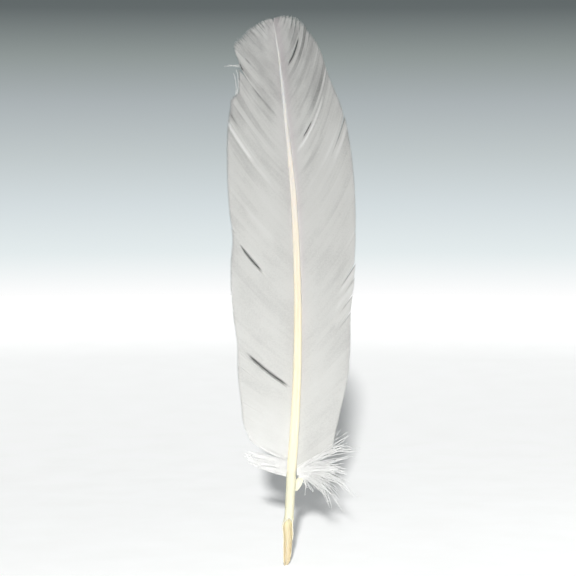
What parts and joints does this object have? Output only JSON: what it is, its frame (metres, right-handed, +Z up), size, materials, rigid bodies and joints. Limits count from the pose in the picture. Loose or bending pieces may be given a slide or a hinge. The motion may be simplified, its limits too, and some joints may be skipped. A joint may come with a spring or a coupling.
{
  "type": "quill pen",
  "caption": "White goose-feather quill pen with a hand-cut nib, a hollow barrel, a split full-length vane and downy tufts.",
  "frame": {"origin": "the writing tip of the nib, its lowest point when the pen stands on it", "axes": "+Z up the quill from the nib to the end of the plume, +X to the right seen from the grooved underside of the feather (the side of the nib's scoop), -Y out of that underside, so the vane lies close to the XZ plane"},
  "size_m": [0.0659, 0.0073, 0.2798],
  "materials": {
    "barrel_horn": "satin, slightly translucent horn",
    "nib_horn": "satin, slightly translucent horn, bare at the knife cuts",
    "shaft_horn": "satin horn with fine lengthwise grain",
    "stripped_horn": "torn, fibrous, matt",
    "pith": "dry, foamy, matt",
    "membrane": "dry, thin, matt",
    "vane": "soft silky sheen, fine parallel barbs",
    "down": "fluffy, matt"
  },
  "bodies": {
    "quill": {"barrel": "barrel_horn", "barrel_membrane": "membrane", "shaft_skin": "shaft_horn", "shaft_pith": "pith", "left_vane_base_web": "vane", "left_vane_lower_web": "vane", "left_vane_middle_web": "vane", "left_vane_upper_web": "vane", "left_vane_tip_web": "vane", "right_vane_base_web": "vane", "right_vane_middle_web": "vane", "right_vane_upper_web": "vane", "right_vane_shoulder_web": "vane", "right_vane_tip_web": "vane", "left_down_tuft": "down", "right_down_upper_tuft": "down", "right_down_lower_tuft": "down", "stripped_barb_tag": "stripped_horn"},
    "left_tine": {"nib_left_tine": "nib_horn"},
    "right_tine": {"nib_right_tine": "nib_horn"}
  },
  "joints": [
    {"name": "left_tine_spread", "type": "hinge", "parent": "quill", "child": "left_tine", "pos_m": [-0.00149, -0.00168, 0.012], "axis": [0, 1, 0], "range_deg": [0, 1.5], "stiffness_Nm_per_rad": 0.015},
    {"name": "right_tine_spread", "type": "hinge", "parent": "quill", "child": "right_tine", "pos_m": [0.00322, -0.00168, 0.012], "axis": [0, -1, 0], "range_deg": [0, 1.5], "stiffness_Nm_per_rad": 0.015}
  ],
  "couplings": [
    {"joint": "right_tine_spread", "follows": "left_tine_spread", "ratio": 1}
  ]
}
